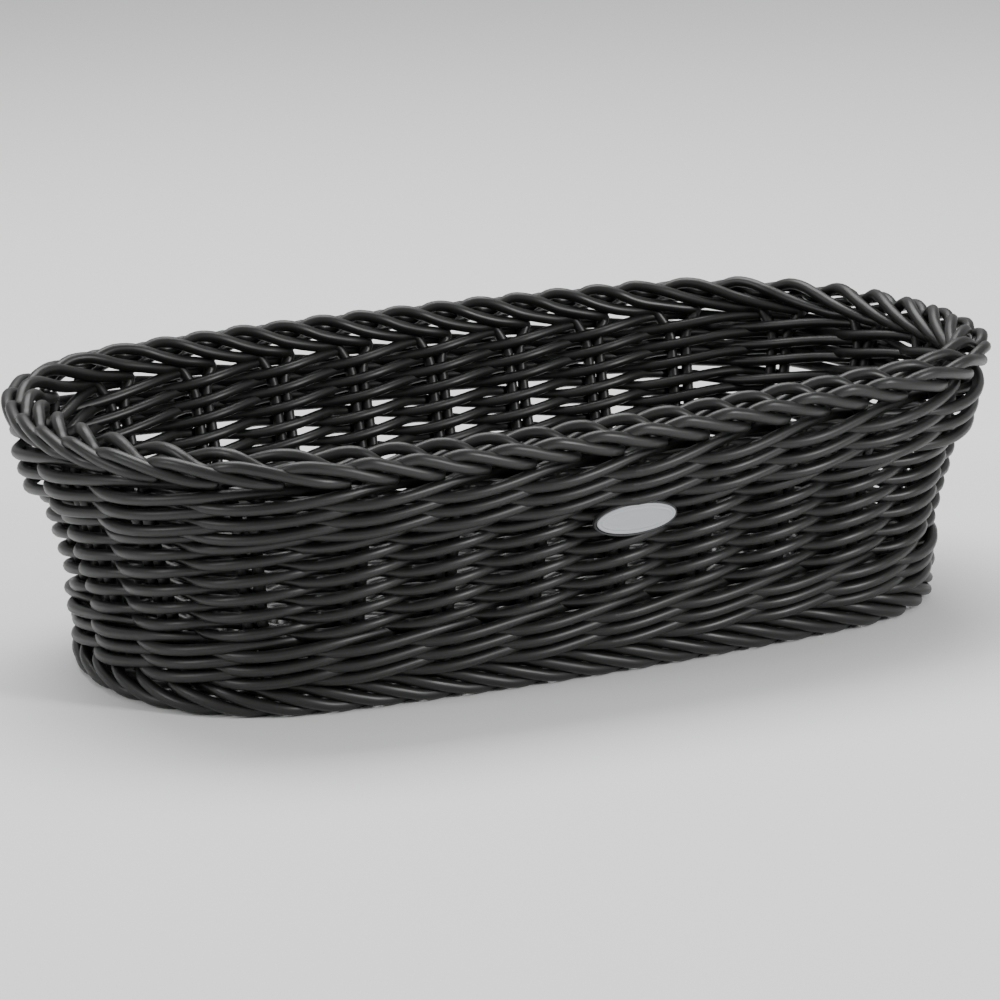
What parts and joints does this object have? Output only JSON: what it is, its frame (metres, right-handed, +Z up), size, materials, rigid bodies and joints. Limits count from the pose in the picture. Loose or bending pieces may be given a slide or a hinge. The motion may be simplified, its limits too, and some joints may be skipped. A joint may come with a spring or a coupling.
{
  "type": "bread basket",
  "caption": "Long oval open bread basket woven from round plastic strands, with a rope-like rim and foot and a small blank oval badge",
  "frame": {"origin": "middle of the foot, on the surface that the basket stands on", "axes": "+X along the basket, -Y the front with the badge, +Z up"},
  "size_m": [0.36, 0.21, 0.1],
  "materials": {
    "strand": "charcoal round plastic strand, satin, with fine lengthwise lines",
    "badge_face": "silver-grey painted plastic, satin",
    "badge_backing": "dark grey moulded plastic, satin"
  },
  "bodies": {
    "root": {"rim_border": "strand", "upper_wale_row_1": "strand", "upper_wale_row_2": "strand", "upper_wale_row_3": "strand", "pairing_row_1": "strand", "pairing_row_2": "strand", "pairing_row_3": "strand", "pairing_row_4": "strand", "pairing_row_5": "strand", "pairing_row_6": "strand", "lower_wale_row_1": "strand", "lower_wale_row_2": "strand", "lower_wale_row_3": "strand", "foot_border": "strand", "stake_pair_01": "strand", "stake_pair_02": "strand", "stake_pair_03": "strand", "stake_pair_04": "strand", "stake_pair_05": "strand", "stake_pair_06": "strand", "stake_pair_07": "strand", "stake_pair_08": "strand", "stake_pair_09": "strand", "stake_pair_10": "strand", "stake_pair_11": "strand", "stake_pair_12": "strand", "stake_pair_13": "strand", "stake_pair_14": "strand", "stake_pair_15": "strand", "stake_pair_16": "strand", "stake_pair_17": "strand", "stake_pair_18": "strand", "stake_pair_19": "strand", "stake_pair_20": "strand", "stake_pair_21": "strand", "stake_pair_22": "strand", "stake_pair_23": "strand", "stake_pair_24": "strand", "stake_pair_25": "strand", "base_long_sticks": "strand", "base_cross_sticks": "strand", "base_end_sticks": "strand", "base_weave_row_1": "strand", "base_weave_row_2": "strand", "base_weave_row_3": "strand", "base_weave_row_4": "strand", "base_weave_row_5": "strand", "base_weave_row_6": "strand", "base_weave_row_7": "strand", "base_weave_row_8": "strand", "base_weave_row_9": "strand", "base_weave_row_10": "strand", "badge_face": "badge_face", "badge_backing": "badge_backing", "badge_retainer": "badge_backing"}
  },
  "joints": []
}
